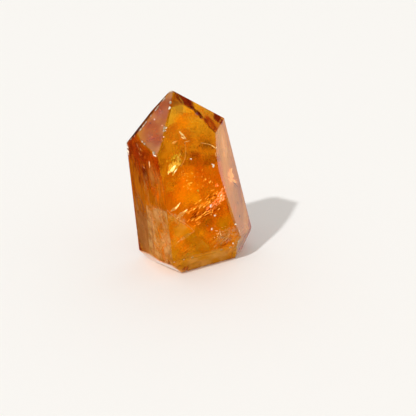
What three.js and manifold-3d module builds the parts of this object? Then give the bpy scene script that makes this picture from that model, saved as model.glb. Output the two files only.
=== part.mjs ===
// A citrine crystal point, in millimetres, +Z up, with its front towards -Y.
//
// It is one piece of stone: a leaning quartz prism with six worn sides and a pointed tip, ground
// flat underneath so that it stands, with a bevel all round the foot. It is made here as a
// stone cutter makes it: a rough block, and one flat grinding cut for each facet.

import * as THREE from "three";
import { mergeVertices } from "three/addons/utils/BufferGeometryUtils.js";
import Module from "manifold-3d";

const wasm = await Module();
wasm.setup();

// The rough block that the facets are ground from, standing on the ground plane.
const roughWidth = 90;
const roughHeight = 100;

// Every facet is placed by how deep it is ground, measured square to the facet from the heart:
// a point in the middle of the stone at this height.
const heartHeight = 38;

// Each facet has three driving values:
//   facing  degrees round the stone, 0 at the front (-Y) and 90 at the right (+X)
//   rise    degrees that the facet looks up (+) or down (-)
//   depth   millimetres from the heart to the facet
const sides = {
  front: { facing: 28.5, rise: -4.5, depth: 13.5 },
  right: { facing: 72.5, rise: 10.5, depth: 16.5 },
  backRight: { facing: 149, rise: 12, depth: 20 },
  backLeft: { facing: -150, rise: 5, depth: 12.6 },
  left: { facing: -59.5, rise: -6.5, depth: 22.8 },
  leftStrip: { facing: -44.5, rise: -8.5, depth: 22.2 },
};
const tipFacets = {
  front: { facing: 37.5, rise: 22.5, depth: 20.4 },
  right: { facing: 69.5, rise: 37.5, depth: 26.5 },
  backRight: { facing: 150, rise: 52, depth: 32.1 },
  backLeft: { facing: -150, rise: 43.5, depth: 31.7 },
  leftSliver: { facing: -100, rise: 37.5, depth: 35.1 },
  left: { facing: -19.5, rise: 38, depth: 37.6 },
};
const footBevels = {
  front: { facing: 28, rise: -26, depth: 22.7 },
  right: { facing: 67, rise: -14.5, depth: 26.2 },
  backRight: { facing: 148.5, rise: -44.5, depth: 40.7 },
  backLeft: { facing: -150.5, rise: -46.5, depth: 35.6 },
  left: { facing: -48.5, rise: -34.5, depth: 32.6 },
  leftStrip: { facing: -37, rise: -45, depth: 34.5 },
};

// The very tip is worn to a small flat at this height above the ground.
const wornTip = { facing: 0, rise: 90, depth: 86.4 - heartHeight };

// The front side rolls over into the tip facet above it: a rounding of this radius, ground as
// a few narrow facets.
const shoulderRadius = 28;
const shoulderFacets = 4;

const heart = new THREE.Vector3(0, 0, heartHeight);

// The outward direction of a facet.
function facetNormal({ facing, rise }) {
  const turn = THREE.MathUtils.degToRad(facing);
  const lift = THREE.MathUtils.degToRad(rise);
  return new THREE.Vector3(
    Math.sin(turn) * Math.cos(lift),
    -Math.cos(turn) * Math.cos(lift),
    Math.sin(lift),
  );
}

// The flat of a facet as a normal and a depth from the heart.
function facetFlat(facet) {
  return { normal: facetNormal(facet), depth: facet.depth };
}

// The narrow facets that round the edge between two flats. They touch a cylinder of the given
// radius that lies along the edge and touches both flats from inside the stone.
function roundingFlats(first, second, radius, count) {
  const cosine = first.normal.dot(second.normal);
  const reach = 1 - cosine * cosine;
  const firstInset = first.depth - radius;
  const secondInset = second.depth - radius;
  const axis = first.normal.clone().multiplyScalar((firstInset - secondInset * cosine) / reach);
  axis.addScaledVector(second.normal, (secondInset - firstInset * cosine) / reach);
  const flats = [];
  for (let step = 1; step <= count; step += 1) {
    const normal = first.normal.clone().lerp(second.normal, step / (count + 1)).normalize();
    flats.push({ normal, depth: normal.dot(axis) + radius });
  }
  return flats;
}

// A closed three.js geometry as a solid that can be cut.
function solidOf(geometry) {
  const bare = geometry.clone();
  bare.deleteAttribute("normal");
  bare.deleteAttribute("uv");
  const merged = mergeVertices(bare);
  return new wasm.Manifold(new wasm.Mesh({
    numProp: 3,
    vertProperties: new Float32Array(merged.attributes.position.array),
    triVerts: new Uint32Array(merged.index.array),
  }));
}

// What the grinding wheel takes away: a thick slab with its inner face on the facet's flat.
function wasteBeyond({ normal, depth }) {
  const slabWidth = 4 * roughHeight;
  const slabThickness = 2 * roughHeight;
  const slab = new THREE.BoxGeometry(slabWidth, slabWidth, slabThickness);
  const turn = new THREE.Quaternion().setFromUnitVectors(new THREE.Vector3(0, 0, 1), normal);
  const centre = heart.clone().addScaledVector(normal, depth + slabThickness / 2);
  slab.applyQuaternion(turn);
  slab.translate(centre.x, centre.y, centre.z);
  return solidOf(slab);
}

function roughBlock() {
  const block = new THREE.BoxGeometry(roughWidth, roughWidth, roughHeight);
  block.translate(0, 0, roughHeight / 2);
  return solidOf(block);
}

function geometryOf(solid) {
  const mesh = solid.getMesh();
  const geometry = new THREE.BufferGeometry();
  geometry.setAttribute("position", new THREE.BufferAttribute(mesh.vertProperties, 3));
  geometry.setIndex(new THREE.BufferAttribute(mesh.triVerts, 1));
  return geometry;
}

// The whole stone, centred over the origin with its ground foot on the ground plane.
function crystalGeometry() {
  const facets = [
    ...Object.values(sides),
    ...Object.values(tipFacets),
    ...Object.values(footBevels),
    wornTip,
  ];
  const shoulder = roundingFlats(
    facetFlat(sides.front),
    facetFlat(tipFacets.front),
    shoulderRadius,
    shoulderFacets,
  );
  let stone = roughBlock();
  for (const flat of [...facets.map(facetFlat), ...shoulder]) {
    stone = stone.subtract(wasteBeyond(flat));
  }
  const geometry = geometryOf(stone);
  geometry.computeBoundingBox();
  const middle = geometry.boundingBox.getCenter(new THREE.Vector3());
  geometry.translate(-middle.x, -middle.y, -geometry.boundingBox.min.z);
  geometry.computeVertexNormals();
  return geometry;
}

const citrine = new THREE.MeshStandardMaterial({
  color: 0xc96f0c,
  roughness: 0.08,
  metalness: 0,
  flatShading: true,
});

const crystalPoint = new THREE.Mesh(crystalGeometry(), citrine);
crystalPoint.name = "crystal_point";

const part = new THREE.Group();
part.add(crystalPoint);

export default part;
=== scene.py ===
"""The looks of a polished citrine crystal point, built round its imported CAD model, in metres."""

import math
import random

import bmesh
import bpy
from mathutils import Matrix, Vector, noise


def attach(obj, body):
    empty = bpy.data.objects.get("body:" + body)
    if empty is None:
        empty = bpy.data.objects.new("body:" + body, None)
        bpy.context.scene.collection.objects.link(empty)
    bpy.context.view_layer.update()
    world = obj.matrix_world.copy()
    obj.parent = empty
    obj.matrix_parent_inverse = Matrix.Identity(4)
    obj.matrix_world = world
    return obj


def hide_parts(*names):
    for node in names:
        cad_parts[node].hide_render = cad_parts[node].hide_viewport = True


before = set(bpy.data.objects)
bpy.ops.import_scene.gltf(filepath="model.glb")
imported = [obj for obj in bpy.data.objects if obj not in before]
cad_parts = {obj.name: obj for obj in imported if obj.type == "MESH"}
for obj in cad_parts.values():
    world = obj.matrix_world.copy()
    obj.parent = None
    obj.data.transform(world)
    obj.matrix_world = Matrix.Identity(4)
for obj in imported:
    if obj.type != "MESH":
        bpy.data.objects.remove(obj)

MM = 0.001
WELD = 0.001 * MM
SAME_FLAT = math.radians(0.3)
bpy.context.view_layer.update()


# ---------------------------------------------------------------- the stone's solid and its flats

def stone_solid():
    """A merged copy of the CAD stone, with one face to each facet."""
    bm = bmesh.new()
    bm.from_mesh(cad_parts["crystal_point"].data)
    bmesh.ops.remove_doubles(bm, verts=bm.verts, dist=WELD)
    bmesh.ops.dissolve_limit(bm, angle_limit=SAME_FLAT, verts=bm.verts, edges=bm.edges)
    bm.normal_update()
    return bm


def facet_flats():
    """Every facet of the stone as a point on it and its outward direction."""
    bm = stone_solid()
    flats = [(face.calc_center_median(), face.normal.copy()) for face in bm.faces]
    bm.free()
    return flats


FLATS = facet_flats()


def depth_inside(place):
    """How far a place lies under the stone's nearest facet; negative outside the stone."""
    return min((point - place).dot(normal) for point, normal in FLATS)


def outward_at(place, reach=0.6 * MM):
    """The outward direction of the facets that pass within reach of a place, edges included."""
    near = [normal for point, normal in FLATS if abs((point - place).dot(normal)) < reach]
    return sum(near, Vector()).normalized()


def on_surface(place):
    """The place moved square on to the nearest facet, and that facet's outward direction."""
    point, normal = min(FLATS, key=lambda flat: abs((flat[0] - place).dot(flat[1])))
    return place + normal * (point - place).dot(normal), normal


def back_on_stone(place):
    """The place, moved square on to every facet that it stands outside of."""
    for point, normal in FLATS:
        place = place - normal * max((place - point).dot(normal), 0)
    return place


# ---------------------------------------------------------------- pieces

def finished_mesh(name, bm):
    """A mesh out of a bmesh, which is let go."""
    mesh = bpy.data.meshes.new(name)
    bm.to_mesh(mesh)
    bm.free()
    return mesh


def in_scene(name, data):
    """An object at the origin of the scene."""
    made = bpy.data.objects.new(name, data)
    bpy.context.scene.collection.objects.link(made)
    return made


def new_piece(name, bm, material):
    """A finished piece at the origin, with its place in its mesh, riding on the stone's body."""
    mesh = finished_mesh(name, bm)
    mesh.materials.append(material)
    piece = in_scene(name, mesh)
    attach(piece, "root")
    return piece


def lying_along(centre, facing, rise, spin=0):
    """The turn and place of something that lies along a face: X level, Y up the face and Z out of it.

    facing is in degrees round from the front towards the right, rise in degrees looking up, spin in
    degrees round the outward direction, and centre in millimetres.
    """
    return (
        Matrix.Translation(Vector(centre) * MM)
        @ Matrix.Rotation(math.radians(facing), 4, "Z")
        @ Matrix.Rotation(math.radians(90 - rise), 4, "X")
        @ Matrix.Rotation(math.radians(spin), 4, "Z")
    )


def under_facet(spot, depth, spin):
    """The turn and place of something that lies flat, a depth under the facet nearest a spot."""
    surface, out = on_surface(Vector(spot) * MM)
    facing = math.degrees(math.atan2(out.x, -out.y))
    rise = math.degrees(math.asin(out.z))
    return lying_along((surface - out * depth * MM) / MM, facing, rise, spin)


def spanning(start, end):
    """The turn and place of something that spans two spots, flat to the nearest facet; its length."""
    start = Vector(start) * MM
    end = Vector(end) * MM
    along = (end - start).normalized()
    out = on_surface((start + end) / 2)[1]
    out = (out - along * out.dot(along)).normalized()
    turn = Matrix((along, out.cross(along), out)).transposed().to_4x4()
    return Matrix.Translation((start + end) / 2) @ turn, (end - start).length / MM


def cut_back(bm, point, outward):
    """Cuts a sheet off along a flat through a point, and drops the outward side."""
    bmesh.ops.bisect_plane(
        bm, geom=bm.verts[:] + bm.edges[:] + bm.faces[:], dist=0.0001 * MM,
        plane_co=point, plane_no=outward, clear_outer=True,
    )


def keep_inside(bm, clearance):
    """Trims a sheet back to where it lies at least the clearance under every facet."""
    for point, normal in FLATS:
        cut_back(bm, point - normal * clearance, normal)


# How broad a sheet's folds are in millimetres, how its rim wanders, and what sets each seed apart.
BROAD_FOLD = 3.5
FINE_FOLD = 1.4
RIM_WANDER = 1.7
SHEET_SHIFT = Vector((17.3, 5.1, 2.7))


def round_off(x, y):
    """Where a spot of a square grid goes when the square is made a round disc."""
    return Vector((x * math.sqrt(1 - y * y / 2), y * math.sqrt(1 - x * x / 2), 0))


def sheet(
    place, width, height, bow=0, crumple=0.3, ragged=0.2, cells=28, seed=0, clearance=0.5, rims=(),
):
    """A round sheet inside the stone, sizes in millimetres.

    bow is how far its sides fall back, crumple how deep its folds are, and ragged how uneven its
    rim is, as a share of its radius. rims are pairs of spots that it is cut off along, with the
    side to the right of each pair, seen from outside, dropped. Its UV map runs from the middle,
    0.5, to the rim.
    """
    bm = bmesh.new()
    bmesh.ops.create_grid(bm, x_segments=cells, y_segments=cells, size=1)
    uv = bm.loops.layers.uv.new("sheet")
    shift = SHEET_SHIFT * (seed + 1)
    for face in bm.faces:
        for loop in face.loops:
            disc = round_off(loop.vert.co.x, loop.vert.co.y)
            loop[uv].uv = disc.xy / 2 + Vector((0.5, 0.5))
    for vert in bm.verts:
        disc = round_off(vert.co.x, vert.co.y)
        wander = noise.noise(disc.normalized() * RIM_WANDER + shift)
        rim = 1 + ragged * disc.length * wander * 2
        flat = Vector((disc.x * rim * width / 2, disc.y * rim * height / 2, 0))
        fold = noise.noise(flat / BROAD_FOLD + shift) + 0.5 * noise.noise(flat / FINE_FOLD + shift)
        flat.z = crumple * fold - bow * disc.x * disc.x
        vert.co = flat * MM
    bm.transform(place)
    keep_inside(bm, clearance * MM)
    out = place.to_3x3() @ Vector((0, 0, 1))
    for start, end in rims:
        along = (Vector(end) - Vector(start)).normalized()
        cut_back(bm, Vector(start) * MM, along.cross(out))
    return bm


def film_between(name, start, end, longer, width, material, **shape):
    """A sheet along the line between two spots, a number of times as long as that line."""
    place, length = spanning(start, end)
    new_piece(name, sheet(place, length * longer, width, **shape), material)


def film_under(name, spot, depth, spin, width, height, material, **shape):
    """A sheet lying a depth under the facet nearest a spot."""
    new_piece(name, sheet(under_facet(spot, depth, spin), width, height, **shape), material)


def crumb(bm, place, size, facets=1):
    """One small closed crumb of a given length, width and thickness in millimetres."""
    bmesh.ops.create_icosphere(
        bm, subdivisions=facets, radius=0.5 * MM,
        matrix=place @ Matrix.Diagonal((*size, 1)),
    )


def stroke(bm, start, end, width, thickness=0.15):
    """A thin closed sliver from one spot to another."""
    place, length = spanning(start, end)
    crumb(bm, place, (length, width, thickness), 2)


THREAD_STEPS = 4
THREAD_OVERLAP = 0.3


def thread(bm, spots, width):
    """A fine line of overlapping slivers, rounded through a row of spots."""
    spots = [Vector(spot) for spot in spots]
    ends = [2 * spots[0] - spots[1]] + spots + [2 * spots[-1] - spots[-2]]
    line = []
    for before, start, end, after in zip(ends, ends[1:], ends[2:], ends[3:]):
        for step in range(THREAD_STEPS):
            t = step / THREAD_STEPS
            line.append(0.5 * (
                2 * start + (end - before) * t + (2 * before - 5 * start + 4 * end - after) * t ** 2
                + (3 * start - 3 * end + after - before) * t ** 3
            ))
    line.append(spots[-1])
    for start, end in zip(line, line[1:]):
        reach = (end - start) * THREAD_OVERLAP
        stroke(bm, start - reach, end + reach, width, width)


# ---------------------------------------------------------------- material tools

def node_group(name, inputs, outputs):
    """An empty shader node group with named number inputs and named outputs."""
    group = bpy.data.node_groups.new(name, "ShaderNodeTree")
    for label, value in inputs.items():
        socket = group.interface.new_socket(label, in_out="INPUT", socket_type="NodeSocketFloat")
        socket.default_value = value
    for label, kind in outputs.items():
        group.interface.new_socket(label, in_out="OUTPUT", socket_type=kind)
    return group, add(group, "NodeGroupInput"), add(group, "NodeGroupOutput")


def add(tree, kind, settings=None, **inputs):
    """A new node with its settings and the values or links of its inputs."""
    made = tree.nodes.new(kind)
    for label, value in (settings or {}).items():
        setattr(made, label, value)
    for label, value in inputs.items():
        feed(tree, made, label.replace("_", " "), value)
    return made


def feed(tree, made, label, value):
    """Gives one input a value, or links a socket to it."""
    socket = made.inputs[int(label) if label.isdigit() else label]
    if isinstance(value, bpy.types.NodeSocket):
        tree.links.new(value, socket)
    else:
        socket.default_value = value


def maths(tree, operation, first, second):
    """Two numbers or sockets put through one step of arithmetic."""
    made = add(tree, "ShaderNodeMath", {"operation": operation})
    feed(tree, made, "0", first)
    feed(tree, made, "1", second)
    return made.outputs[0]


def ramp(tree, value, low, high, bottom=0.0, top=1.0):
    """A smooth step of a value from low to high, put out from bottom to top."""
    made = add(tree, "ShaderNodeMapRange", {"interpolation_type": "SMOOTHSTEP"}, Value=value)
    ends = {"From Min": low, "From Max": high, "To Min": bottom, "To Max": top}
    for label, end in ends.items():
        feed(tree, made, label, end)
    return made.outputs["Result"]


def blend_colours(tree, share, first, second):
    """The first colour, giving way to the second as the share goes from 0 to 1."""
    made = add(tree, "ShaderNodeMix", {"data_type": "RGBA"})
    feed(tree, made, "0", share)
    feed(tree, made, "6", first)
    feed(tree, made, "7", second)
    return made.outputs[2]


def rock_noise(tree, scale, detail=4.0, roughness=0.6, stretch=None):
    """Noise in the stone's own space, put out about 0.5; stretch thins it along each axis."""
    where = add(tree, "ShaderNodeTexCoord").outputs["Object"]
    if stretch:
        where = add(tree, "ShaderNodeMapping", Vector=where, Scale=stretch).outputs["Vector"]
    return add(
        tree, "ShaderNodeTexNoise", Vector=where, Scale=scale, Detail=detail, Roughness=roughness,
    ).outputs["Fac"]


SHEET_MIDDLE = (0.5, 0.5, 0)
FADE_FROM = 0.55


def drawn_noise(group, given, where, detail, roughness):
    """Noise of a group's own scale, drawn out upwards by its own share."""
    stretch = add(group, "ShaderNodeCombineXYZ", X=1.0, Y=1.0, Z=given.outputs["Upright"])
    drawn = add(
        group, "ShaderNodeMapping", Vector=where, Scale=stretch.outputs["Vector"],
    ).outputs["Vector"]
    return add(
        group, "ShaderNodeTexNoise", Vector=drawn, Scale=given.outputs["Scale"],
        Detail=detail, Roughness=roughness,
    ).outputs["Fac"]


def wispy_mask_group():
    """Wisps on a sheet, which thin out towards its rim from a share of its radius on."""
    group, given, out = node_group(
        "wispy_mask",
        {"Scale": 300, "Cover": 0.5, "Softness": 0.12, "Strength": 0.5, "Upright": 1.0},
        {"Mask": "NodeSocketFloat"},
    )
    uv = add(group, "ShaderNodeUVMap", {"uv_map": "sheet"}).outputs["UV"]
    from_middle = add(group, "ShaderNodeVectorMath", {"operation": "SUBTRACT"})
    feed(group, from_middle, "0", uv)
    feed(group, from_middle, "1", SHEET_MIDDLE)
    length = add(group, "ShaderNodeVectorMath", {"operation": "LENGTH"})
    feed(group, length, "0", from_middle.outputs[0])
    reach = maths(group, "MULTIPLY", length.outputs["Value"], 2.0)
    fade = ramp(group, reach, FADE_FROM, 1.0, 1.0, 0.0)
    stone_space = add(group, "ShaderNodeTexCoord").outputs["Object"]
    wisps = drawn_noise(group, given, stone_space, 4.0, 0.55)
    edge = maths(group, "SUBTRACT", 1.0, given.outputs["Cover"])
    soft = maths(group, "ADD", edge, given.outputs["Softness"])
    mask = maths(group, "MULTIPLY", ramp(group, wisps, edge, soft), fade)
    mask = maths(group, "MULTIPLY", mask, given.outputs["Strength"])
    group.links.new(mask, out.inputs["Mask"])
    return group


def mottle_group():
    """Soft blotches, drawn out into streaks that lean over from upright by an angle in radians."""
    group, given, out = node_group(
        "mottle", {"Scale": 300, "Low": 0.4, "High": 0.6, "Lean": 0.0, "Upright": 1.0},
        {"Share": "NodeSocketFloat"},
    )
    turn = add(group, "ShaderNodeCombineXYZ", Y=given.outputs["Lean"]).outputs["Vector"]
    stone_space = add(group, "ShaderNodeTexCoord").outputs["Object"]
    turned = add(group, "ShaderNodeMapping", Vector=stone_space, Rotation=turn).outputs["Vector"]
    blotches = drawn_noise(group, given, turned, 3.0, 0.5)
    share = ramp(group, blotches, given.outputs["Low"], given.outputs["High"])
    group.links.new(share, out.inputs["Share"])
    return group


WISPY_MASK = wispy_mask_group()
MOTTLE = mottle_group()


def use_group(tree, group, **values):
    """A node group placed in a tree with its own values; its first output."""
    made = add(tree, "ShaderNodeGroup", {"node_tree": group})
    for label, value in values.items():
        feed(tree, made, label, value)
    return made.outputs[0]


def new_material(name, **plain):
    """A material with plain values on its Principled sockets, and its tree and shader."""
    material = bpy.data.materials.new(name)
    material.use_nodes = True
    tree = material.node_tree
    shader = tree.nodes["Principled BSDF"]
    for label, value in plain.items():
        feed(tree, shader, label.replace("_", " "), value)
    return material, tree, shader


QUARTZ_IOR = 1.544
HONEY = (0.956, 0.785, 0.0462, 1)
HONEY_DENSITY = 225.0
FINEST_POLISH = 0.05
DULLEST_POLISH = 0.13
POLISH_WAVE = 0.06 * MM
POLISH_LINE_SHARE = 0.02


def clear_citrine():
    """The stone itself: clear quartz that turns honey orange with depth, hand polished."""
    material, tree, shader = new_material(
        "clear_citrine", Base_Color=(1, 1, 1, 1), IOR=QUARTZ_IOR, Transmission_Weight=1.0,
    )
    haze = rock_noise(tree, 160)
    feed(tree, shader, "Roughness", ramp(tree, haze, 0.3, 0.75, FINEST_POLISH, DULLEST_POLISH))
    swell = rock_noise(tree, 90, detail=2.0)
    polish_lines = rock_noise(tree, 900, stretch=(1.0, 1.0, 0.08))
    height = maths(tree, "ADD", swell, maths(tree, "MULTIPLY", polish_lines, POLISH_LINE_SHARE))
    bump = add(tree, "ShaderNodeBump", Height=height, Strength=1.0, Distance=POLISH_WAVE)
    feed(tree, shader, "Normal", bump.outputs["Normal"])
    depth_colour = add(tree, "ShaderNodeVolumeAbsorption", Color=HONEY, Density=HONEY_DENSITY)
    tree.links.new(depth_colour.outputs["Volume"], tree.nodes["Material Output"].inputs["Volume"])
    return material


# Where the mottle turns from the first colour to the second, on veils and on small flecks.
VEIL_TURN = {"Low": 0.36, "High": 0.64}
FLECK_TURN = {"Low": 0.42, "High": 0.58}


# Every glow below is a painted glow: emission that stands in for light a piece would catch and send
# back.
def shine_in(tree, shader, colour, glow):
    """Gives a shader a changing colour, and a painted glow in that colour: light that it gives off
    itself, though it is no lamp.
    """
    feed(tree, shader, "Base Color", colour)
    feed(tree, shader, "Emission Color", colour)
    feed(tree, shader, "Emission Strength", glow)


def veil_material(
    name, first, second, scale, cover, strength,
    softness=0.3, upright=1.0, lean=0.0, blotch=0.6, glow=0.0,
):
    """A cloudy sheet in two colours, with a painted glow in those colours that it gives off itself.
    """
    material, tree, shader = new_material(name, Roughness=0.6, Specular_IOR_Level=0.0)
    share = use_group(
        tree, MOTTLE, Scale=scale * blotch, Upright=upright, Lean=lean, **VEIL_TURN,
    )
    shine_in(tree, shader, blend_colours(tree, share, (*first, 1), (*second, 1)), glow)
    mask = use_group(
        tree, WISPY_MASK, Scale=scale, Cover=cover, Softness=softness, Strength=strength,
        Upright=upright,
    )
    feed(tree, shader, "Alpha", mask)
    return material


def glint_material(
    name, first, second, glow, scale=500.0, metal=0.6, roughness=0.25, upright=1.0, lean=0.0,
):
    """Bright crumbs and flashes: mirror-like films that shine in two colours, their shine partly a
    painted highlight that they give off themselves.
    """
    material, tree, shader = new_material(name, Roughness=roughness, Metallic=metal)
    share = use_group(tree, MOTTLE, Scale=scale, Upright=upright, Lean=lean, **FLECK_TURN)
    shine_in(tree, shader, blend_colours(tree, share, (*first, 1), (*second, 1)), glow)
    return material


def dark_material(name, first, second, scale=900.0):
    """Small dark flecks and scratches in two close colours, without any shine."""
    material, tree, shader = new_material(name, Roughness=0.8, Specular_IOR_Level=0.0)
    share = use_group(tree, MOTTLE, Scale=scale, **FLECK_TURN)
    feed(tree, shader, "Base Color", blend_colours(tree, share, (*first, 1), (*second, 1)))
    return material


# ---------------------------------------------------------------- the polished stone

EDGE_WEAR = 0.22 * MM
SHARP_FROM = math.radians(8)

# Nicks along the edges: where each one sits, in millimetres, how wide its scoop is and how deep.
NICKS = [
    ((-27.3, -3.9, 60.2), 3.0, 0.8),
    ((-26.9, -4.0, 57.4), 1.6, 0.5),
    ((-19.9, -9.4, 72.3), 1.8, 0.5),
    ((-14.0, -8.3, 79.2), 1.4, 0.35),
    ((-8.5, -7.6, 86.3), 1.8, 0.5),
    ((2.3, -5.8, 76.0), 2.2, 0.5),
    ((4.4, -5.6, 73.8), 1.6, 0.4),
    ((0.4, -6.2, 78.2), 1.4, 0.35),
    ((-13.3, -24.0, 64.2), 1.2, 0.35),
    ((21.6, -1.4, 13.0), 1.8, 0.45),
    ((-24.3, 3.8, 3.5), 1.6, 0.4),
    ((20.2, 1.8, 2.4), 1.6, 0.35),
    ((4.0, -5.2, 0.2), 1.8, 0.4),
    ((13.0, -0.6, 0.2), 1.4, 0.3),
]


def soften_edges(bm):
    """The edges between facets, each softened a little, as polishing and handling leave them."""
    sharp = [edge for edge in bm.edges if edge.calc_face_angle(0) > SHARP_FROM]
    bmesh.ops.bevel(
        bm, geom=sharp, offset=EDGE_WEAR, offset_type="OFFSET", segments=2, profile=0.5,
        affect="EDGES", material=-1, clamp_overlap=True,
    )


def nick_scoops():
    """The round scoops that knock shell-shaped nicks out of the edges."""
    bm = bmesh.new()
    for place, width, depth in NICKS:
        spot = Vector(place) * MM
        out = outward_at(spot)
        radius = (width * width / 8 / depth + depth / 2) * MM
        bmesh.ops.create_icosphere(
            bm, subdivisions=3, radius=radius,
            matrix=Matrix.Translation(spot + out * (radius - depth * MM)),
        )
    return bm


def cut_out(piece, bm):
    """Cuts a closed shape out of a piece, for good."""
    cutter = in_scene("cutter", finished_mesh("cutter", bm))
    cut = piece.modifiers.new("cut", "BOOLEAN")
    cut.operation = "DIFFERENCE"
    cut.solver = "EXACT"
    cut.use_self = True
    cut.object = cutter
    bpy.context.view_layer.update()
    finished = piece.evaluated_get(bpy.context.evaluated_depsgraph_get())
    piece.data = bpy.data.meshes.new_from_object(finished)
    piece.modifiers.clear()
    bpy.data.objects.remove(cutter)


def polished_stone():
    """The stone in the CAD solid's place, with softened edges and nicks."""
    bm = stone_solid()
    soften_edges(bm)
    stone = new_piece("polished_stone", bm, clear_citrine())
    cut_out(stone, nick_scoops())
    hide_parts("crystal_point")


polished_stone()


# ---------------------------------------------------------------- clouds and veils

CLOUD_BOW = 2
CLOUD_FOLDS = 1.3


def clouds():
    """Broad clouds of fine drops deep in the stone, each with a painted glow that lights the stone
    from within, brightest in the sunny ones.
    """
    kinds = {
        "amber": veil_material(
            "amber_cloud", (0.96, 0.6, 0.02), (0.9, 0.46, 0.0), 80.0, 0.7, 0.78, glow=0.26,
        ),
        "sunny": veil_material(
            "sunny_cloud", (1.0, 0.62, 0.02), (1.0, 0.46, 0.0), 90.0, 0.7, 0.8, glow=0.55,
        ),
        "honey": veil_material(
            "honey_cloud", (1.0, 0.6, 0.05), (0.9, 0.42, 0.0), 110.0, 0.72, 0.85, glow=0.3,
        ),
        "russet": veil_material(
            "russet_cloud", (0.66, 0.22, 0.0), (0.45, 0.11, 0.0), 110.0, 0.66, 0.7, glow=0.14,
        ),
    }
    # name, kind, middle in mm, facing, rise, spin, width, height
    places = [
        ("middle", "amber", (2, 2, 40), 25, 8, 10, 34, 60),
        ("top", "amber", (-6, 4, 66), 10, 40, 0, 34, 26),
        ("far_right", "amber", (12, 6, 32), 60, 5, 10, 22, 44),
        ("top_right", "amber", (8, 6, 60), 70, 15, 0, 26, 30),
        ("bottom", "honey", (0, 0, 14), 20, 50, 0, 44, 30),
        ("back", "amber", (-4, 8, 30), -150, 5, 0, 34, 52),
        ("left_depth", "honey", (-12, -6, 34), -22, 10, 0, 20, 60),
        ("left_foot", "honey", (-14, -2, 12), -28, 0, 0, 24, 24),
        ("right_foot", "honey", (13, 2, 17), 15, 12, 8, 18, 30),
        ("tip_sun", "sunny", (-2.3, -1.5, 73), 14, 26, 0, 20, 15),
        ("heart_sun", "sunny", (-3.5, -7, 43), 12, 16, 20, 17, 19),
        ("low_sun", "sunny", (-3, -6, 18), 12, 16, -30, 24, 16),
        ("red_band", "russet", (3, -7, 55.5), 12, 16, -8, 26, 7),
        ("red_slope", "russet", (6, -4.5, 27), 12, 16, 30, 22, 12),
        ("red_corner", "russet", (-18, -9, 58), -30, 10, 0, 14, 17),
    ]
    for seed, (name, kind, middle, facing, rise, spin, width, height) in enumerate(places, 11):
        place = lying_along(middle, facing, rise, spin)
        cloud = sheet(place, width, height, bow=CLOUD_BOW, crumple=CLOUD_FOLDS, seed=seed)
        new_piece(name + "_cloud", cloud, kinds[kind])


def side_tone_films():
    """Thin films just under the skin that give each side of the stone the tone it shows in the light,
    with a painted glow.
    """
    # name, spot, depth, spin, width, height, first and second colour, scale, cover, strength,
    # upright, lean, glow
    films = [
        ("tip_left", (-13.5, -13, 73), 0.9, -20, 26, 44,
            (0.64, 0.28, 0.0), (0.46, 0.1, 0.0), 200, 0.8, 0.75, 1.0, 0.0, 0.25),
        # Painted shade: this dark film darkens the upper left side.
        ("left_upper", (-21, -10, 55), 0.9, 0, 22, 26,
            (0.52, 0.05, 0.0), (0.24, 0.006, 0.0), 360, 0.66, 0.8, 0.3, 0.0, 0.25),
        ("left_middle", (-22, -5, 40), 0.9, 0, 24, 44,
            (0.78, 0.28, 0.01), (0.5, 0.13, 0.0), 420, 0.76, 0.85, 0.1, 0.0, 0.25),
        ("left_low", (-21, -3, 20), 0.9, 0, 26, 40,
            (0.64, 0.3, 0.1), (0.5, 0.2, 0.06), 420, 0.88, 0.85, 0.6, 0.0, 0.25),
        # Painted shade: this dark film darkens the strip on the upper left.
        ("strip_upper", (-15, -18, 57), 0.6, 0, 18, 20,
            (0.6, 0.12, 0.0), (0.22, 0.01, 0.0), 360, 0.62, 0.8, 0.3, 0.0, 0.25),
        ("strip_middle", (-13.5, -17.6, 44), 0.5, 0, 18, 34,
            (0.7, 0.34, 0.08), (0.52, 0.17, 0.0), 420, 0.7, 0.72, 0.25, 0.0, 0.25),
        ("right_side", (18.5, 5.5, 38), 0.8, 0, 34, 90,
            (1.0, 0.5, 0.08), (0.72, 0.3, 0.08), 110, 0.82, 0.85, 0.5, 0.3, 0.25),
        ("right_foot", (20, 4, 8), 1.5, 0, 26, 22,
            (0.8, 0.44, 0.12), (0.6, 0.28, 0.04), 200, 0.75, 0.8, 1.0, 0.0, 0.25),
        ("front_low", (4, -9, 15), 2.4, 30, 44, 24,
            (0.75, 0.42, 0.0), (0.6, 0.24, 0.0), 130, 0.66, 0.75, 0.6, 0.9, 0.25),
        ("front_foot", (5, -6.5, 4), 0.6, 0, 62, 18,
            (0.92, 0.52, 0.12), (0.78, 0.34, 0.01), 240, 0.78, 0.85, 0.4, 0.9, 0.25),
        # Painted reflection: these two pale peach films stand in for the pale table that the lower
        # left facets mirror.
        ("left_foot", (-19, -2.4, 3.3), 0.4, 0, 40, 30,
            (0.98, 0.66, 0.42), (0.94, 0.54, 0.32), 200, 0.95, 0.95, 1.0, 0.0, 0.3),
        ("left_foot_strip", (-11.4, -9.6, 3.4), 0.4, 0, 44, 30,
            (0.96, 0.62, 0.38), (0.92, 0.5, 0.28), 200, 0.95, 0.95, 1.0, 0.0, 0.3),
    ]
    for seed, film in enumerate(films, 41):
        name, spot, depth, spin, width, height, first, second, *rest = film
        scale, cover, strength, upright, lean, glow = rest
        # Each film paints the tone of its side as the light gives it, with a painted glow.
        silk = veil_material(
            name + "_silk", first, second, scale, cover, strength,
            upright=upright, lean=lean, glow=glow,
        )
        film_under(
            name + "_film", spot, depth, spin, width, height, silk,
            crumple=0.12, ragged=0.1, seed=seed, clearance=0.15,
        )


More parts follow.
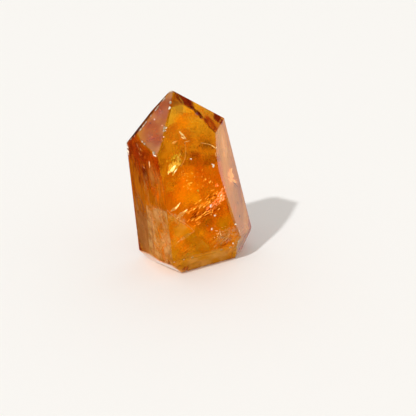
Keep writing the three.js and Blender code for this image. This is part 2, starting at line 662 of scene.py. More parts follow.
# The healed crack low on the left: its upper rim, and the point that it comes to on the front.
HEALED_RIM = [
    (-17.5, -11.5, 35.7), (-14.3, -14.8, 36.8), (-12.0, -17.2, 37.3), (-10.3, -18.8, 37.0),
    (-9.3, -18.2, 35.4), (-6.9, -16.6, 32.1), (-2.6, -13.9, 27.6), (0.8, -11.6, 22.8),
]
HEALED_FOOT = [(0.8, -11.6, 22.8), (-3.2, -13.6, 20.9), (-6.2, -15.1, 19.2), (-8.0, -15.9, 17.0)]


def healed_crack():
    """A healed crack that wraps the low left corner, paler on the left, with a fine pale rim."""
    cream = veil_material(
        "cream_silk", (0.82, 0.52, 0.22), (0.62, 0.3, 0.05), 620.0, 0.76, 0.82,
        softness=0.4, upright=0.5, lean=0.4, blotch=0.4, glow=0.25,
    )
    gold = veil_material(
        "gold_silk", (0.8, 0.42, 0.03), (0.62, 0.28, 0.0), 160.0, 0.7, 0.6, glow=0.35,
    )
    film_under(
        "healed_crack_side", (-14, -13, 20), 0.4, 0, 34, 66, cream,
        crumple=0.1, ragged=0.0, seed=61, clearance=0.25,
        rims=[((-10.3, -18.8, 37.4), (-17.5, -11.5, 36.0))],
    )
    film_under(
        "healed_crack_front", (-5, -15, 20), 0.8, 0, 46, 66, gold,
        crumple=0.1, ragged=0.0, seed=62, clearance=0.35,
        rims=list(zip(HEALED_RIM[5:], HEALED_RIM[4:])),
    )
    band = veil_material(
        "pale_band", (1.0, 0.8, 0.5), (0.9, 0.6, 0.28), 700.0, 0.72, 0.6, softness=0.4, upright=0.5,
        glow=0.35,
    )
    for number, (start, end, width) in enumerate([
        ((-9.4, -17.6, 34.6), (-3.6, -14.3, 27.9), 4.4),
        ((-14.6, -14.6, 35.4), (-9.8, -18.6, 34.4), 4.2),
        ((-16.6, -12.2, 31.0), (-16.0, -11.5, 18.0), 2.4),
        ((-6.4, -15.3, 26.6), (-2.6, -13.1, 25.6), 2.6),
    ], 1):
        film_between(
            f"healed_crack_band_{number}", start, end, 1.3, width, band,
            crumple=0.15, ragged=0.3, seed=63 + number, clearance=0.3,
        )
    rim = glint_material(
        "healed_rim", (0.9, 0.62, 0.3), (0.75, 0.4, 0.1), 0.35, 900.0, metal=0.0, roughness=0.5,
    )
    bm = bmesh.new()
    thread(bm, HEALED_RIM, 0.24)
    thread(bm, HEALED_FOOT, 0.16)
    new_piece("healed_crack_rim", bm, rim)


clouds()
side_tone_films()
healed_crack()


# ---------------------------------------------------------------- flashes, leaves and flames

def gold_flash():
    """A crumpled open crack that flashes gold, its flash a painted highlight with cream streaks, and
    a fine bright line along its right rim.
    """
    gold = veil_material(
        "gold_film", (0.9, 0.62, 0.04), (0.3, 0.2, 0.0), 700.0, 0.62, 0.85,
        upright=0.5, lean=-0.7, blotch=1.3, glow=0.3,
    )
    body = lying_along((-6.6, -13.6, 60.0), 15, 14, -14)
    new_piece("gold_film", sheet(body, 7.4, 14.5, crumple=0.7, seed=5), gold)
    flash = glint_material(
        "gold_flash", (1.0, 0.72, 0.2), (0.46, 0.22, 0.0), 0.5, 2200.0, upright=0.4, lean=-0.7,
    )
    heart = lying_along((-7.8, -16.4, 56.6), 15, 10, -32)
    new_piece("gold_flash", sheet(
        heart, 3.8, 6.2, crumple=0.9, ragged=0.55, cells=20, seed=3,
    ), flash)
    tip = lying_along((-5.8, -15.6, 59.4), 15, 10, -30)
    new_piece("gold_flash_tip", sheet(
        tip, 1.9, 3.6, crumple=0.8, ragged=0.6, cells=16, seed=4,
    ), flash)
    # Painted highlights: cream strokes that glow on the flash.
    cream = glint_material(
        "cream_glint", (1.0, 0.95, 0.76), (1.0, 0.76, 0.34), 1.0, 1500.0, metal=0.3, roughness=0.3,
    )
    slivers(
        "flash_strokes", 8, (-9.0, -19.0, 55.4), (-6.9, -18.6, 57.9), (0.8, 0.2, 0.5), (1.6, 3.0),
        (0.4, 0.75), 52, cream, 6,
    )
    olive = glint_material(
        "olive_glint", (0.9, 0.72, 0.08), (0.5, 0.36, 0.02), 0.5, 1500.0, metal=0.3, roughness=0.3,
    )
    slivers(
        "olive_strokes", 46, (-8.8, -16.9, 61.2), (-5.6, -17.0, 58.4), (1.4, 0.4, 1.3), (0.5, 1.5),
        (0.2, 0.5), 50, olive, 7,
    )
    line = glint_material(
        "pale_line", (1.0, 0.86, 0.6), (0.9, 0.6, 0.3), 0.4, 900.0, metal=0.0, roughness=0.4,
    )
    bm = bmesh.new()
    thread(bm, [
        (-3.4, -11.3, 64.9), (-2.9, -12.5, 61.8), (-3.2, -14.3, 58.8), (-4.8, -15.5, 56.3),
    ], 0.15)
    stroke(bm, (-3.6, -11.5, 65.0), (-1.1, -9.7, 64.8), 0.3)
    new_piece("gold_flash_rim", bm, line)


# A leaf's thickness and the height of its waves in millimetres, and what sets each seed apart.
LEAF_THICKNESS = 0.14
LEAF_WAVE = 0.5
LEAF_SHIFT = Vector((3.1, 9.7, 4.3))


def leaf(name, start, end, width, curl, material, seed):
    """A pale pointed flake from one spot to another: a thin closed leaf with a curl to it."""
    place, length = spanning(start, end)
    bm = bmesh.new()
    bmesh.ops.create_icosphere(bm, subdivisions=4, radius=1)
    shift = LEAF_SHIFT * (seed + 1)
    for vert in bm.verts:
        x, y, z = vert.co
        taper = max(1 - abs(x), 0) ** 0.7
        rag = 0.5 * noise.noise(Vector((x * 3, y, 0)) + shift)
        vert.co = Vector((
            x * length / 2,
            (y + rag) * taper * width / 2 + curl * (x * x - 0.4),
            z * LEAF_THICKNESS / 2 + LEAF_WAVE * noise.noise(Vector((x * 2, y * 1.5, 5)) + shift),
        )) * MM
    bm.transform(place)
    new_piece(name, bm, material)


def cream_leaves():
    """Pale flakes under the front and the left, some with a painted highlight in a bright streak, and
    fine scratches.
    """
    cream = glint_material(
        "cream_flake", (0.98, 0.72, 0.4), (0.85, 0.4, 0.1), 0.35, 1400.0, metal=0.1,
        roughness=0.4, upright=0.3, lean=-0.8,
    )
    # Painted highlights: these bright flakes glow white-gold on the upper right of two leaves.
    bright = glint_material(
        "bright_flake", (1.0, 0.95, 0.74), (1.0, 0.78, 0.4), 0.9, 1500.0, metal=0.1, roughness=0.4,
        upright=0.4, lean=-0.8,
    )
    for name, start, end, width, curl, material, seed in [
        ("cream_leaf_upper", (-9.8, -18.0, 35.3), (-5.1, -15.8, 39.0), 1.7, 0.5, cream, 1),
        ("cream_leaf_middle", (-7.4, -16.2, 31.2), (-2.0, -13.8, 35.0), 2.3, -0.3, cream, 2),
        ("cream_leaf_low", (-7.0, -14.5, 19.0), (0.3, -10.9, 22.4), 1.9, -0.2, cream, 3),
        ("cream_leaf_small", (-13.6, -15.6, 36.0), (-11.2, -17.6, 34.4), 1.1, 0.1, cream, 4),
        ("bright_leaf_upper", (-7.2, -17.2, 36.9), (-4.9, -16.0, 39.3), 0.55, 0.3, bright, 9),
        ("bright_leaf_middle", (-3.6, -14.9, 34.0), (-2.0, -14.1, 35.2), 0.5, -0.1, bright, 10),
        ("cream_dart", (-19.6, -6.2, 22.1), (-17.0, -9.9, 23.6), 1.0, 0.1, cream, 5),
        ("cream_smear", (-8.8, -14.6, 65.6), (-6.2, -13.4, 66.6), 1.1, 0.1, cream, 6),
    ]:
        leaf(name, start, end, width, curl, material, seed)
    pale = glint_material(
        "pale_scratch", (1.0, 0.9, 0.66), (0.95, 0.75, 0.45), 0.6, 900.0, metal=0.0, roughness=0.4,
    )
    bm = bmesh.new()
    for start, end, width in [
        ((-5.3, -11.9, 70.2), (-4.0, -11.7, 68.4), 0.75),
        ((-4.2, -11.6, 69.1), (-2.4, -11.7, 66.4), 0.5),
        ((-4.6, -12.5, 67.9), (-3.0, -12.0, 66.7), 0.55),
        ((-4.5, -12.2, 68.2), (-3.4, -11.6, 68.6), 0.3),
        ((7.8, -6.0, 61.2), (9.8, -5.3, 59.4), 0.5),
        ((9.6, -5.9, 57.9), (9.9, -5.8, 55.6), 0.25),
        ((-16.5, -18.0, 60.1), (-16.4, -17.5, 56.3), 0.55),
        ((-16.7, -17.2, 58.4), (-16.0, -17.8, 57.6), 0.3),
        ((-19.8, -13.6, 55.6), (-18.2, -15.0, 54.9), 0.35),
        ((-21.3, -11.3, 65.0), (-20.6, -12.3, 63.3), 0.4),
        ((-20.0, -13.6, 63.9), (-19.2, -14.3, 63.0), 0.3),
        ((-20.6, -12.1, 61.2), (-19.9, -12.9, 60.4), 0.25),
    ]:
        stroke(bm, start, end, width)
    thread(bm, [(3.7, -8.1, 63.1), (6.6, -6.5, 61.8), (8.8, -5.6, 60.5), (10.0, -5.4, 59.0)], 0.14)
    new_piece("pale_scratches", bm, pale)


# A swarm's facing and rise in degrees, how far its slivers stray from them and from their tilt,
# how thick they are in millimetres, and how deep they keep under the facets.
SWARM_FACING = 28
SWARM_RISE = -4
SWARM_STRAY = 12
TILT_STRAY = 9
SLIVER_THICKNESS = 0.12
SLIVER_DEPTH = 0.5


def slivers(name, count, start, end, spread, length, width, tilt, material, seed):
    """A swarm of thin slivers along a line from start to end, all leaning about the same way."""
    rng = random.Random(seed)
    bm = bmesh.new()
    start, end = Vector(start), Vector(end)
    for _ in range(count):
        spot = start.lerp(end, rng.random())
        spot += Vector([rng.gauss(0, side) for side in spread])
        long = rng.uniform(*length)
        wide = rng.uniform(*width)
        lean = tilt + rng.gauss(0, TILT_STRAY)
        if depth_inside(spot * MM) < (SLIVER_DEPTH + long / 3) * MM:
            continue
        facing = SWARM_FACING + rng.gauss(0, SWARM_STRAY)
        rise = SWARM_RISE + rng.gauss(0, SWARM_STRAY)
        crumb(bm, lying_along(spot, facing, rise, lean), (long, wide, SLIVER_THICKNESS))
    new_piece(name, bm, material)


def flames():
    """Iridescent films on a crack low on the right: coral red at one end, amber at the other, shining
    by a painted glow, with blush sparks as painted highlights.
    """
    coral = glint_material("coral_flame", (1.0, 0.46, 0.26), (0.95, 0.16, 0.02), 1.3, 1200.0)
    amber = glint_material("amber_flame", (1.0, 0.62, 0.14), (0.95, 0.3, 0.02), 1.3, 1500.0)
    # Painted highlights: pale pink sparks among the coral flames.
    blush = glint_material("blush_spark", (1.0, 0.72, 0.6), (1.0, 0.5, 0.3), 1.3, 900.0)
    ember = dark_material("ember_gap", (0.5, 0.12, 0.0), (0.34, 0.05, 0.0))
    # name, count, start, end, spread, length, width, tilt, material, seed
    for swarm in [
        ("coral_flames", 38, (11.6, -5.9, 35.6), (13.4, -5.2, 39.4), (0.9, 0.4, 1.3), (0.5, 1.8),
            (0.25, 0.6), 40, coral, 11),
        ("blush_sparks", 12, (12.2, -6.6, 37.0), (13.2, -6.0, 39.2), (0.7, 0.2, 0.8), (0.4, 1.1),
            (0.15, 0.4), 40, blush, 16),
        ("coral_spots", 7, (10.2, -7.6, 42.6), (10.8, -7.4, 43.8), (0.3, 0.2, 0.4), (0.6, 1.4),
            (0.3, 0.7), 20, coral, 14),
        ("coral_tails", 30, (6.5, -8.6, 32.2), (13.6, -4.8, 36.6), (0.7, 0.3, 0.8), (1.2, 3.6),
            (0.15, 0.32), 32, coral, 12),
        ("amber_flames", 46, (-2.5, -12.8, 32.6), (10.5, -6.4, 39.4), (1.3, 0.4, 1.4), (0.6, 2.6),
            (0.16, 0.42), 36, amber, 13),
        ("amber_tails", 34, (-0.5, -12.0, 27.4), (10, -6.9, 32), (1.8, 0.4, 1.3), (0.5, 2.4),
            (0.15, 0.34), 34, amber, 15),
        ("ember_gaps", 26, (-1.0, -11.0, 29.5), (12, -5.2, 36.0), (1.6, 0.3, 1.6), (2.0, 5.5),
            (0.25, 0.6), 34, ember, 17),
    ]:
        slivers(*swarm)


def streaks():
    """Fine growth fibres: golden ones in the foot, rising to the right."""
    golden = glint_material(
        "golden_fibre", (1.0, 0.64, 0.12), (0.8, 0.44, 0.03), 0.45, 500.0, metal=0.2,
    )
    slivers(
        "foot_fibres", 130, (-6, -10, 10), (12, -3, 16), (2.5, 1.5, 2.6), (1.5, 6),
        (0.08, 0.22), 26, golden, 21,
    )
    slivers(
        "front_foot_fibres", 34, (-1, -8, 4.6), (13, 0, 5.4), (1.5, 0.6, 1.2), (1, 3.5),
        (0.1, 0.3), 38, golden, 24,
    )


SPECK_DEPTH = 0.3


def specks(name, spots, material, seed):
    """Small round bubbles and grains: each spot is a centre, a spread, a count and a size range."""
    rng = random.Random(seed)
    bm = bmesh.new()
    for centre, spread, count, size in spots:
        for _ in range(count):
            place = Vector(centre) + Vector([rng.gauss(0, side) for side in spread])
            wide = rng.uniform(*size)
            if depth_inside(place * MM) < (SPECK_DEPTH + wide) * MM:
                continue
            turn = lying_along(place, rng.uniform(0, 90), rng.uniform(-40, 40), rng.uniform(0, 180))
            crumb(bm, turn, (wide, wide * rng.uniform(0.5, 1), wide * 0.5))
    new_piece(name, bm, material)


def bubbles_and_grains():
    """Yellow bubbles in the middle, grains by the corners and the tip, dark motes and fine dust."""
    yellow = glint_material("yellow_grain", (1.0, 0.75, 0.2), (1.0, 0.48, 0.04), 0.9, 900.0)
    specks("yellow_grains", [
        ((-1.6, -12.5, 45.8), (0.9, 0.4, 1.2), 20, (0.35, 0.9)),
        ((5.5, -9, 47.3), (0.3, 0.2, 0.3), 3, (0.4, 0.9)),
        ((7.8, -7.9, 45.5), (0.3, 0.2, 0.3), 3, (0.4, 0.9)),
        ((-1, -12.5, 51), (3.0, 1, 1.2), 22, (0.2, 0.6)),
        ((6, -8.6, 46.2), (2.6, 1, 2.2), 18, (0.2, 0.5)),
        ((-4.5, -14.6, 52.6), (0.9, 0.4, 0.8), 10, (0.2, 0.5)),
    ], yellow, 31)
    green = glint_material("green_grain", (0.85, 0.8, 0.15), (0.6, 0.6, 0.1), 0.5, 900.0, metal=0.0)
    specks("green_grain", [((2.3, -10.6, 42.6), (0.2, 0.1, 0.2), 3, (0.8, 1.1))], green, 34)
    specks("left_corner_grains", [
        ((-20.0, -12.4, 61), (1.2, 0.8, 1.6), 20, (0.2, 0.6)),
        ((-18, -14.4, 57.5), (1.4, 0.8, 1.6), 12, (0.2, 0.5)),
    ], yellow, 32)
    white = glint_material(
        "white_grain", (1.0, 0.9, 0.75), (0.9, 0.7, 0.5), 0.5, 900.0, metal=0.0, roughness=0.4,
    )
    specks("tip_left_grains", [
        ((-14.6, -12.9, 76.0), (0.1, 0.1, 0.1), 3, (0.3, 0.6)),
        ((-11.3, -15.4, 74.4), (0.2, 0.1, 0.2), 3, (0.3, 0.6)),
        ((-10.8, -17.0, 72.6), (0.2, 0.1, 0.5), 5, (0.3, 0.6)),
        ((-11.6, -19.6, 69.6), (0.2, 0.2, 0.8), 4, (0.2, 0.4)),
        ((-14.0, -15.4, 72.0), (2.6, 1.2, 3.4), 16, (0.12, 0.26)),
    ], white, 36)
    dark = dark_material("dark_mote", (0.16, 0.05, 0.0), (0.08, 0.02, 0.0))
    specks("dark_motes", [
        ((-3.0, -12.6, 64.9), (0.2, 0.1, 0.2), 2, (0.5, 0.8)),
        ((2.0, -10.3, 62.0), (1.4, 0.4, 0.8), 8, (0.35, 0.7)),
        ((4.5, -8.8, 61.7), (1.0, 0.4, 0.6), 6, (0.35, 0.7)),
        ((9.0, -6.4, 59.6), (0.4, 0.2, 0.4), 3, (0.4, 0.6)),
        ((-4.2, -14.6, 61.0), (1.2, 0.5, 1.4), 12, (0.35, 0.7)),
        ((-8.0, -18.0, 49.2), (0.3, 0.1, 0.6), 4, (0.4, 0.6)),
    ], dark, 35)
    fine = glint_material("fine_dust", (1.0, 0.66, 0.15), (0.95, 0.5, 0.05), 0.35, 900.0, metal=0.0)
    specks("fine_dust", [((0, -8, 40), (8, 4, 18), 150, (0.08, 0.22))], fine, 33)
    chalky = glint_material(
        "chalky_grain", (1.0, 0.9, 0.56), (0.8, 0.76, 0.48), 1.3, 900.0, metal=0.0, roughness=0.4,
    )
    specks("right_foot_grains", [
        ((12.7, -6.8, 17.8), (0.25, 0.1, 0.8), 8, (0.4, 0.75)),
        ((16.4, -4.9, 18.8), (0.15, 0.1, 1.5), 14, (0.35, 0.7)),
        ((17.3, -4.4, 20.2), (0.5, 0.1, 0.7), 18, (0.3, 0.65)),
        ((14.4, -5.9, 18.8), (2.3, 0.5, 1.6), 70, (0.16, 0.45)),
        ((17.2, -4.2, 13.6), (0.8, 0.2, 0.7), 18, (0.3, 0.65)),
    ], chalky, 37)


def dark_seams():
    """Dark brown iron stain: the seam under the right of the tip, and darker olive sheets near it,
    two of them painted shade.
    """
    stain = veil_material(
        "iron_stain", (0.46, 0.045, 0.0), (0.28, 0.02, 0.0), 420.0, 0.95, 1.0, glow=0.13,
    )
    film_between(
        "tip_stain", (-6.4, -6.6, 85.2), (0.8, -2.8, 77.7), 1.25, 8.0, stain,
        crumple=0.1, ragged=0.15, seed=71, clearance=0.2,
    )
    brown = veil_material(
        "brown_haze", (0.66, 0.34, 0.03), (0.46, 0.18, 0.0), 260.0, 0.8, 0.6, glow=0.2,
    )
    crown = lying_along((-5.8, -8.2, 81.4), 15, 27, 20)
    new_piece("crown_haze", sheet(
        crown, 12, 14, crumple=0.2, seed=70, clearance=0.25,
    ), brown)
    film_under(
        "corner_stain", (11.3, 4.6, 68.6), 0.6, 10, 7, 8, stain,
        crumple=0.1, ragged=0.25, seed=72, clearance=0.2,
    )
    rust = veil_material(
        "rust_haze", (0.8, 0.17, 0.0), (0.52, 0.06, 0.0), 500.0, 0.85, 0.9, glow=0.22,
    )
    film_between(
        "rust_patch", (5.4, -2.6, 72.4), (10.4, -2.4, 66.6), 1.3, 6.5, rust,
        crumple=0.1, seed=78, clearance=0.2,
    )
    seam = veil_material(
        "seam_stain", (0.34, 0.04, 0.0), (0.18, 0.015, 0.0), 1100.0, 0.78, 1.0, softness=0.14,
    )
    for number, (start, end) in enumerate([
        ((-2.0, -5.4, 79.8), (2.2, -4.0, 75.6)),
        ((1.6, -4.2, 76.0), (5.2, -3.6, 72.0)),
        ((4.9, -3.6, 72.2), (9.4, -3.8, 66.8)),
    ], 1):
        film_between(
            f"tip_seam_{number}", start, end, 1.3, 2.6, seam,
            crumple=0.2, ragged=0.3, seed=72 + number, clearance=0.2,
        )
    darkening = veil_material(
        "olive_darkening", (0.46, 0.2, 0.0), (0.34, 0.12, 0.0), 260.0, 0.62, 0.42,
    )
    # Painted shade: olive_brow and olive_shade darken the lower right of the front under the tip; the
    # first sheet is only darker.
    for name, place, width, height, crumple, ragged, seed in [
        ("olive_darkening", lying_along((1.4, -6.5, 70.0), 20, 26, 10), 5.0, 4.0, 0.2, 0.2, 76),
        ("olive_brow", lying_along((3.0, -6.0, 64.5), 15, 22, -12), 17, 12, 0.4, 0.3, 79),
        ("olive_shade", lying_along((4.8, -6.5, 60.5), 20, 16, -5), 13, 6.5, 0.3, 0.3, 77),
    ]:
        new_piece(name, sheet(
            place, width, height, crumple=crumple, ragged=ragged, seed=seed,
        ), darkening)


def right_side_marks():
    """On the right: a peach-coloured flash under the skin with a painted glow, a painted pale sheen
    under the right facets, and a few dark scratches and a pit.
    """
    peach = veil_material(
        "peach_flash", (1.0, 0.6, 0.18), (0.98, 0.4, 0.08), 500.0, 0.8, 0.95, upright=0.4, lean=0.4,
        glow=0.55,
    )
    for number, (start, end, width) in enumerate([
        ((17.1, 4.2, 47.4), (16.7, 0.8, 37.8), 9.0),
        ((15.7, -1.9, 42.6), (19.8, 7.4, 37.0), 1.3),
    ], 1):
        film_between(
            f"peach_flash_{number}", start, end, 1.3, width, peach,
            crumple=0.1, ragged=0.6, seed=85 + number, clearance=0.3,
        )
    # Painted sheen: pale glowing films that stand in for the floor that the right facets mirror at a
    # slant.
    sheen = veil_material(
        "pale_sheen", (1.0, 0.66, 0.26), (0.9, 0.46, 0.14), 300.0, 0.62, 0.55, upright=0.3, lean=0.3,
        glow=0.4,
    )
    for name, spot, spin, width, height, seed in [
        ("pale_sheen_high", (13.4, 1.2, 58.5), 12, 8, 18, 81),
        ("pale_sheen_low", (23.4, 6.6, 14.5), 0, 5, 6, 82),
    ]:
        film_under(
            name, spot, 0.5, spin, width, height, sheen, crumple=0.1, seed=seed, clearance=0.25,
        )
    ink = dark_material("dark_scratch", (0.34, 0.13, 0.07), (0.22, 0.07, 0.04))
    bm = bmesh.new()
    for start, end, width in [
        ((17.4, 2.0, 40.4), (20.6, 8.2, 33.6), 0.4),
        ((18.6, 3.4, 37.4), (19.9, 6.0, 34.2), 0.35),
        ((20.9, 2.4, 22.0), (21.5, 3.4, 21.2), 1.0),
        ((15.1, 3.0, 52.4), (16.5, 4.8, 46.0), 0.3),
        ((20.0, 3.0, 29.2), (20.8, 4.8, 26.6), 0.3),
        ((14.0, 1.6, 56.0), (15.0, 2.4, 51.0), 0.3),
    ]:
        stroke(bm, start, end, width)
    new_piece("dark_scratches", bm, ink)


# Where the stone's outer edges are bruised: the two ends of each stretch, and how many bruises.
BRUISED_EDGES = [
    ((-8.6, -7.5, 86.3), (-21.9, -15.5, 71.1), 20), ((-22.4, -14.4, 70.2), (-27.5, -3.7, 61.2), 7),
    ((-27.6, -3.6, 61.0), (-26.9, -2.2, 51.0), 10), ((-26.9, -2.0, 50.0), (-24.5, 3.9, 5.0), 5),
    ((-8.6, -7.6, 86.4), (-6.9, -7.8, 86.4), 6), ((-19.9, -18.4, 68.4), (-13.2, -24.1, 64.3), 4),
    ((-7.2, -8.2, 86.0), (-13.0, -23.8, 65.0), 3), ((21.9, -1.4, 13.8), (20.5, -1.8, 9.0), 7),
    ((20.5, -1.7, 9.0), (20.0, 2.9, 0.2), 4), ((-4.5, -10.1, 0.1), (19.9, 2.9, 0.1), 8),
    ((-24.3, 3.9, 3.6), (-18.6, -6.8, 7.2), 5), ((-8.3, -17.4, 9.6), (20.5, -1.7, 9.0), 5),
]


# How far from an edge its facets still count, and how deep a bruise sits in the edge: a share of
# the edge's wear and a share of its own width.
EDGE_REACH = 1.0 * MM
WEAR_SHARE = 0.35
WIDTH_SHARE = 0.32


def edge_bruises():
    """Small pale bruises knocked into the edges."""
    pale = glint_material(
        "bruised_edge", (0.9, 0.86, 0.7), (0.5, 0.42, 0.25), 0.1, 1500.0, metal=0.0, roughness=0.6,
    )
    rng = random.Random(51)
    bm = bmesh.new()
    for start, end, count in BRUISED_EDGES:
        start, end = Vector(start), Vector(end)
        along = (end - start).normalized()
        for _ in range(count):
            spot = start.lerp(end, rng.random())
            out = outward_at(spot * MM, EDGE_REACH)
            wide = rng.uniform(0.3, 0.9)
            long = wide * rng.uniform(1.0, 2.4)
            inward = out * (EDGE_WEAR / MM * WEAR_SHARE + wide * WIDTH_SHARE)
            side = out.cross(along).normalized()
            turn = Matrix((along, side, along.cross(side))).transposed().to_4x4()
            place = Matrix.Translation((spot - inward) * MM) @ turn
            crumb(bm, place, (long, wide, wide * 0.7))
    new_piece("edge_bruises", bm, pale)


# Each pit is a few flat crumbs: how many, how far they stray as a share of its width, how thick
# they are in millimetres, and how deep their middles lie.
PIT_CRUMBS = 3
PIT_STRAY = 0.3
PIT_THICKNESS = 0.14
PIT_DEPTH = 0.02 * MM


def surface_pits():
    """White bruises and pits where the polish is broken, each at a spot on a facet."""
    white = glint_material(
        "bruised_quartz", (1.0, 0.93, 0.78), (0.8, 0.7, 0.5), 0.2, 2000.0, metal=0.0, roughness=0.6,
    )
    bm = bmesh.new()
    rng = random.Random(41)
    for place, width in [
        ((-8.6, -12.1, 80.8), 1.1), ((-13.9, -23.3, 64.2), 1.1), ((-14.8, -22.6, 64.4), 0.9),
        ((9.8, -11.5, 53.7), 1.3), ((9.7, -11.6, 54.6), 0.9), ((0.3, -16.4, 59.5), 0.7),
        ((8.5, -10.5, 34.6), 1.1), ((8.2, -10.6, 33.8), 0.8), ((10.2, -9.0, 28.6), 0.9),
        ((8.9, -9.2, 22.2), 0.9), ((19.6, -3.3, 21.1), 0.9), ((18.6, -2.9, 11.2), 0.9),
        ((-9.9, -16.7, 73.8), 0.6), ((-10.9, -19.1, 70.8), 0.5), ((-10.2, -17.5, 73.0), 0.4),
        ((-14.7, -13.7, 76.3), 0.5), ((-26.9, -4.6, 59.4), 1.2), ((-27.0, -4.1, 57.6), 1.4),
        ((-26.9, -4.0, 55.6), 0.9), ((21.0, -1.5, 16.5), 0.6),
    ]:
        spot, out = on_surface(Vector(place) * MM)
        for _ in range(PIT_CRUMBS):
            turn = out.to_track_quat("Z", "Y").to_matrix().to_4x4()
            slip = Vector((rng.uniform(-PIT_STRAY, PIT_STRAY), rng.uniform(-PIT_STRAY, PIT_STRAY), 0))
            seat = back_on_stone(spot + turn @ slip * width * MM) - out * PIT_DEPTH
            turn = Matrix.Translation(seat) @ turn
            turn = turn @ Matrix.Rotation(rng.uniform(0, math.pi), 4, "Z")
            long = width * rng.uniform(0.7, 1.3)
            wide = width * rng.uniform(0.4, 0.8)
            crumb(bm, turn, (long, wide, PIT_THICKNESS), 2)
    new_piece("surface_pits", bm, white)
    bloom = veil_material(
        "worn_bloom", (0.98, 0.7, 0.38), (0.8, 0.42, 0.12), 700.0, 0.62, 0.6, glow=0.3,
    )
    film_under(
        "worn_bloom", (15.8, -4.4, 16.2), 0.35, 25, 15, 9, bloom,
        crumple=0.05, ragged=0.35, seed=79, clearance=0.2,
    )
    grey = veil_material(
        "grey_scuff", (0.9, 0.85, 0.7), (0.6, 0.52, 0.36), 1900.0, 0.5, 0.75, softness=0.12,
        blotch=0.8,
    )
    for number, (spot, wide, high, spin) in enumerate([
        ((17.4, -3.3, 17.8), 4.5, 3.0, 20), ((19.7, -2.6, 18.9), 2.4, 4.2, -20),
        ((13.4, -5.3, 15.8), 4.0, 2.2, 40), ((16.6, -3.5, 14.0), 5.0, 3.0, 35),
        ((6.7, -10.6, 24.4), 1.6, 1.2, 0),
    ], 1):
        film_under(
            f"scuff_{number}", spot, 0.35, spin, wide, high, grey,
            crumple=0.02, ragged=0.4, cells=14, seed=80 + number, clearance=0.25,
        )


gold_flash()
cream_leaves()
flames()
streaks()
bubbles_and_grains()
dark_seams()
right_side_marks()
edge_bruises()
surface_pits()


# ---------------------------------------------------------------- studio

FLOOR_WIDTH = 4.0
PAPER = (0.9, 0.878, 0.845, 1)


def studio_floor():
    """A plain pale paper floor."""
    bm = bmesh.new()
    bmesh.ops.create_grid(bm, x_segments=1, y_segments=1, size=FLOOR_WIDTH / 2)
    mesh = finished_mesh("studio_floor", bm)
    paper, _, _ = new_material(
        "pale_paper", Base_Color=PAPER, Roughness=0.9, Specular_IOR_Level=0.1,
    )
    mesh.materials.append(paper)
    floor = in_scene("studio_floor", mesh)
    floor.visible_glossy = False


# How bright the room is: overhead, its walls, the dark below, and the pale table behind that the
# right and the lower left facets mirror.
OVERHEAD = 0.78
WALLS = 0.03
BELOW = 0.012
RIGHT_TABLE = 0.85
LEFT_TABLE_NEAR = 0.4
LEFT_TABLE_FAR = 0.76
ROOM_COLOUR = (1.0, 0.985, 0.965, 1)
SUN_STRENGTH = 1.75
SUN_SIZE = math.radians(2.0)
SUN_COLOUR = (0.95, 0.98, 1.0)
SUN_TRAVEL = Vector((0.572, 0.725, -1))


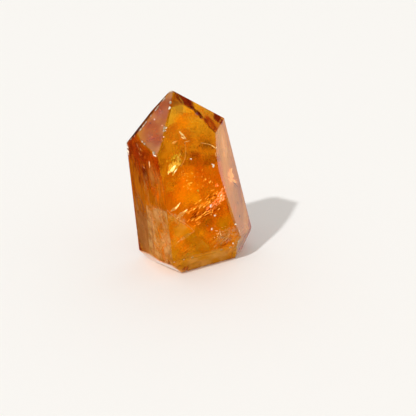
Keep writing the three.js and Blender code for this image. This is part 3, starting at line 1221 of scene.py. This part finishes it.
def studio_light():
    """A broad overhead light, dark walls low down, and a pale table behind that the facets mirror."""
    world = bpy.data.worlds.new("studio")
    world.use_nodes = True
    tree = world.node_tree
    everywhere = add(tree, "ShaderNodeTexCoord").outputs["Generated"]
    across, back, up = add(tree, "ShaderNodeSeparateXYZ", Vector=everywhere).outputs
    overhead = ramp(tree, up, 0.25, 0.5, WALLS, OVERHEAD)
    behind = ramp(tree, back, 0.52, 0.62)
    right = maths(tree, "MULTIPLY", ramp(tree, across, 0.45, 0.58), RIGHT_TABLE)
    low = ramp(tree, up, -0.42, -0.52)
    left = ramp(tree, across, 0.4, -0.1, LEFT_TABLE_NEAR, LEFT_TABLE_FAR)
    left = maths(tree, "MULTIPLY", left, low)
    not_far_left = ramp(tree, across, -0.6, -0.4)
    left = maths(tree, "MULTIPLY", left, not_far_left)
    table = maths(tree, "MULTIPLY", maths(tree, "MAXIMUM", right, left), behind)
    table = maths(tree, "ADD", table, BELOW)
    above = ramp(tree, up, -0.02, 0.02)
    level = add(tree, "ShaderNodeMix", {"data_type": "FLOAT"})
    feed(tree, level, "0", above)
    feed(tree, level, "2", table)
    feed(tree, level, "3", overhead)
    sky = tree.nodes["Background"]
    feed(tree, sky, "Color", ROOM_COLOUR)
    feed(tree, sky, "Strength", level.outputs[0])
    bpy.context.scene.world = world
    lamp = bpy.data.lights.new("key", "SUN")
    lamp.energy = SUN_STRENGTH
    lamp.angle = SUN_SIZE
    lamp.color = SUN_COLOUR
    in_scene("key", lamp).rotation_euler = SUN_TRAVEL.to_track_quat("-Z", "Y").to_euler()


CAMERA_AIM = Vector((7.3 * MM, 0, 27.5 * MM))
CAMERA_ELEVATION = math.radians(28.43)
CAMERA_DISTANCE = 448.2 * MM
FOCAL_LENGTH = 86.9
FILM_WIDTH = 36
NEAREST_SEEN = 0.01


def studio_camera():
    """The camera in front of the stone, looking down on it a little."""
    lens = bpy.data.cameras.new("camera")
    lens.sensor_width = FILM_WIDTH
    lens.lens = FOCAL_LENGTH
    lens.clip_start = NEAREST_SEEN
    camera = in_scene("camera", lens)
    towards = Vector((0, -math.cos(CAMERA_ELEVATION), math.sin(CAMERA_ELEVATION)))
    camera.location = CAMERA_AIM + CAMERA_DISTANCE * towards
    camera.rotation_euler = (math.radians(90) - CAMERA_ELEVATION, 0, 0)
    bpy.context.scene.camera = camera


INSIDE_TURNS = 32
VEILS_PASSED = 48


def deep_light_paths():
    """Light turns many times inside a faceted stone, and passes many thin veils."""
    paths = bpy.context.scene.cycles
    paths.max_bounces = INSIDE_TURNS
    paths.transmission_bounces = INSIDE_TURNS
    paths.glossy_bounces = INSIDE_TURNS // 2
    paths.transparent_max_bounces = VEILS_PASSED


studio_floor()
studio_light()
studio_camera()
deep_light_paths()
bpy.context.scene.view_settings.view_transform = "Standard"
